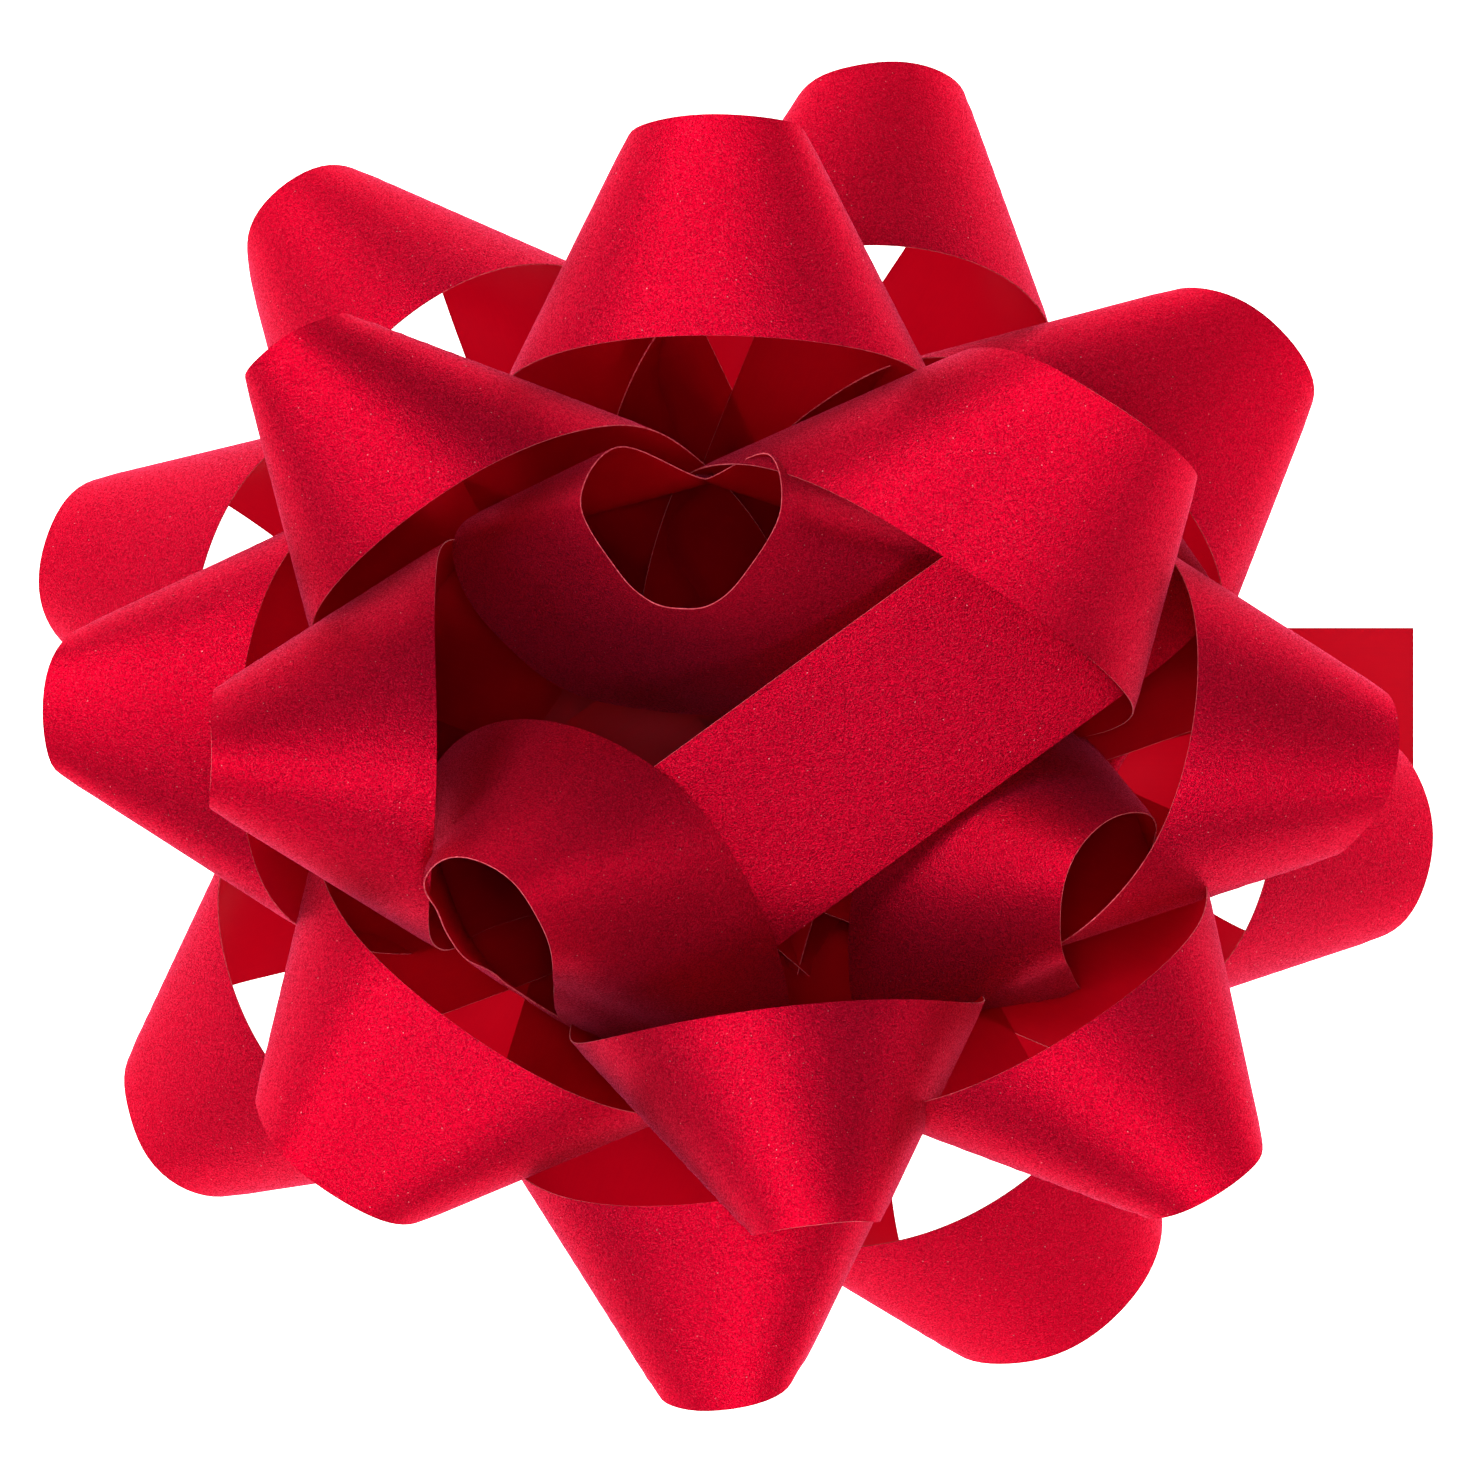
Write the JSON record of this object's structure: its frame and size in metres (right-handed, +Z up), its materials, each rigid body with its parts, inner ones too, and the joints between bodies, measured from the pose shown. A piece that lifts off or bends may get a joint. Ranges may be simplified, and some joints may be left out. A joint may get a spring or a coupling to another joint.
{
  "type": "gift bow",
  "caption": "Ready-made star gift bow: flocked ribbon turned into pointed half-twist loops on a centre pin, over a round stick-on card base with a flat tail.",
  "frame": {"origin": "centre of the round base on its underside, where it sticks to a parcel, under the pin", "axes": "+Z up along the pin, away from the parcel; +X along the flat tail; +Y completes the right hand"},
  "size_m": [0.1134, 0.108, 0.0519],
  "materials": {
    "ribbon": "short red flock on one face, smooth red satin on the other",
    "pin_plastic": "moulded translucent white plastic",
    "base_card": null,
    "adhesive_foam": "white double-sided foam with a tacky face",
    "release_liner": null
  },
  "bodies": {
    "root": {"tail": "ribbon", "loop_01": "ribbon", "loop_02": "ribbon", "loop_03": "ribbon", "loop_04": "ribbon", "loop_05": "ribbon", "loop_06": "ribbon", "loop_07": "ribbon", "loop_08": "ribbon", "loop_09": "ribbon", "loop_10": "ribbon", "loop_11": "ribbon", "loop_12": "ribbon", "loop_13": "ribbon", "loop_14": "ribbon", "loop_15": "ribbon", "loop_16": "ribbon", "loop_17": "ribbon", "loop_18": "ribbon", "loop_19": "ribbon", "loop_20": "ribbon", "loop_21": "ribbon", "centre_pin": "pin_plastic", "base_card": "base_card", "adhesive_pad": "adhesive_foam", "release_liner": "release_liner"}
  },
  "joints": []
}
